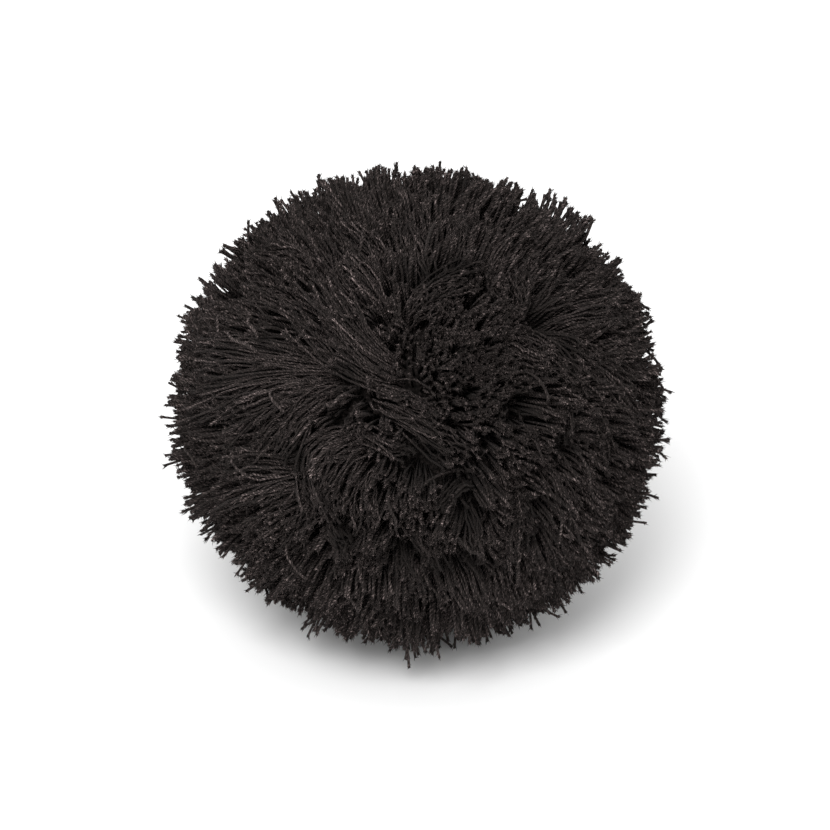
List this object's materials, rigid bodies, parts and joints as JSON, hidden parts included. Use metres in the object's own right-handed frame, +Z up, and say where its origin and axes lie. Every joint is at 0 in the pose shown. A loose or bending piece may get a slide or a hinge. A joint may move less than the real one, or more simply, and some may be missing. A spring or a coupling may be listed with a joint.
{
  "type": "pom pom",
  "caption": "Round yarn pom pom: a full ball of cut two-ply yarn, combed into leaning tufts, with a small flat spot to rest on.",
  "frame": {"origin": "on the surface that the ball rests on, in the small flat spot of cut ends under its middle", "axes": "+Z up, -Y toward the front that the picture shows, +X to the right as seen from the front"},
  "size_m": [0.1014, 0.102, 0.0924],
  "materials": {
    "yarn": "matt off-black wool yarn, two plies twisted, with cut ends"
  },
  "bodies": {
    "root": {"pompom": "yarn"}
  },
  "joints": []
}
